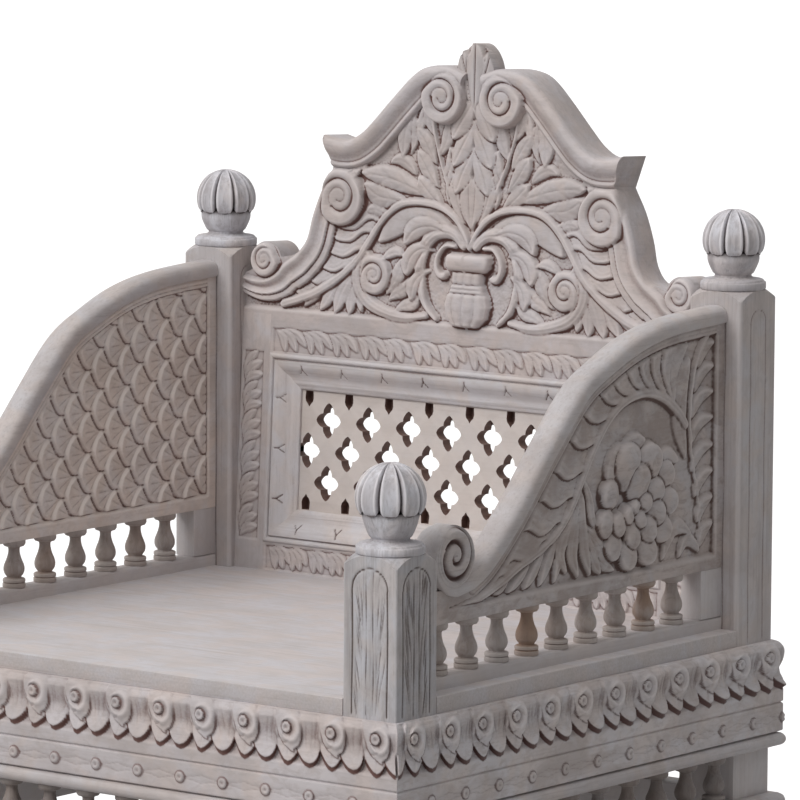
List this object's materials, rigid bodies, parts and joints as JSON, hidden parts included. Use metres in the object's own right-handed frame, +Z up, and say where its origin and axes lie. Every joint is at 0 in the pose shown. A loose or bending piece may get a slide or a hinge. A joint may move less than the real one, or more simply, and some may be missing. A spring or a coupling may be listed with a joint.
{
  "type": "carved armchair",
  "caption": "Low carved wooden armchair with a box base on turned legs, S-curved arms over turned balusters, an openwork back and a swan-neck pediment.",
  "frame": {"origin": "on the floor under the middle of the chair's box, between its four feet", "axes": "+Z up; +Y from the front edge of the seat to the back; +X to the right of a viewer who stands in front of the chair and faces its back"},
  "size_m": [0.746, 0.65, 1.0026],
  "materials": {
    "washed_wood": "carved hardwood, worn grey lime wash, darker in the recesses",
    "seat_wood": "flat boards, pale grey wash with open grain",
    "amber_wood": "turned hardwood, grey wash worn through to amber",
    "dowel_wood": "raw beech dowel",
    "steel": "plain zinc"
  },
  "bodies": {
    "root": {"leg_front_left": "washed_wood", "leg_front_right": "washed_wood", "leg_back_left": "washed_wood", "leg_back_right": "washed_wood", "tie_rail_front": "washed_wood", "tie_rail_back": "washed_wood", "tie_rail_left": "washed_wood", "tie_rail_right": "washed_wood", "gallery_front": "washed_wood", "gallery_back": "washed_wood", "gallery_left": "washed_wood", "gallery_right": "washed_wood", "roll_front": "washed_wood", "roll_back": "washed_wood", "roll_left": "washed_wood", "roll_right": "washed_wood", "apron_front": "washed_wood", "apron_back": "washed_wood", "apron_left": "washed_wood", "apron_right": "washed_wood", "seat_board": "seat_wood", "seat_battens": "washed_wood", "post_front_left": "washed_wood", "post_front_right": "washed_wood", "post_back_left": "washed_wood", "post_back_right": "washed_wood", "finial_front_left": "washed_wood", "finial_front_right": "washed_wood", "finial_back_left": "washed_wood", "finial_back_right": "washed_wood", "arm_rail_left": "washed_wood", "arm_rail_right": "washed_wood", "arm_block_left": "washed_wood", "arm_block_right": "washed_wood", "arm_balusters_left": "washed_wood", "arm_balusters_right": "amber_wood", "arm_panel_left": "washed_wood", "arm_panel_right": "washed_wood", "handrail_left": "washed_wood", "handrail_right": "washed_wood", "back_bottom_rail": "washed_wood", "back_top_rail": "washed_wood", "back_stile_left": "washed_wood", "back_stile_right": "washed_wood", "frame_moulding_top": "washed_wood", "frame_moulding_bottom": "washed_wood", "frame_moulding_left": "washed_wood", "frame_moulding_right": "washed_wood", "jali_panel": "washed_wood", "pediment_panel": "washed_wood", "cornice_left": "washed_wood", "cornice_right": "washed_wood", "crest_leaf": "washed_wood", "finial_dowels": "dowel_wood", "seat_screws": "steel"}
  },
  "joints": []
}
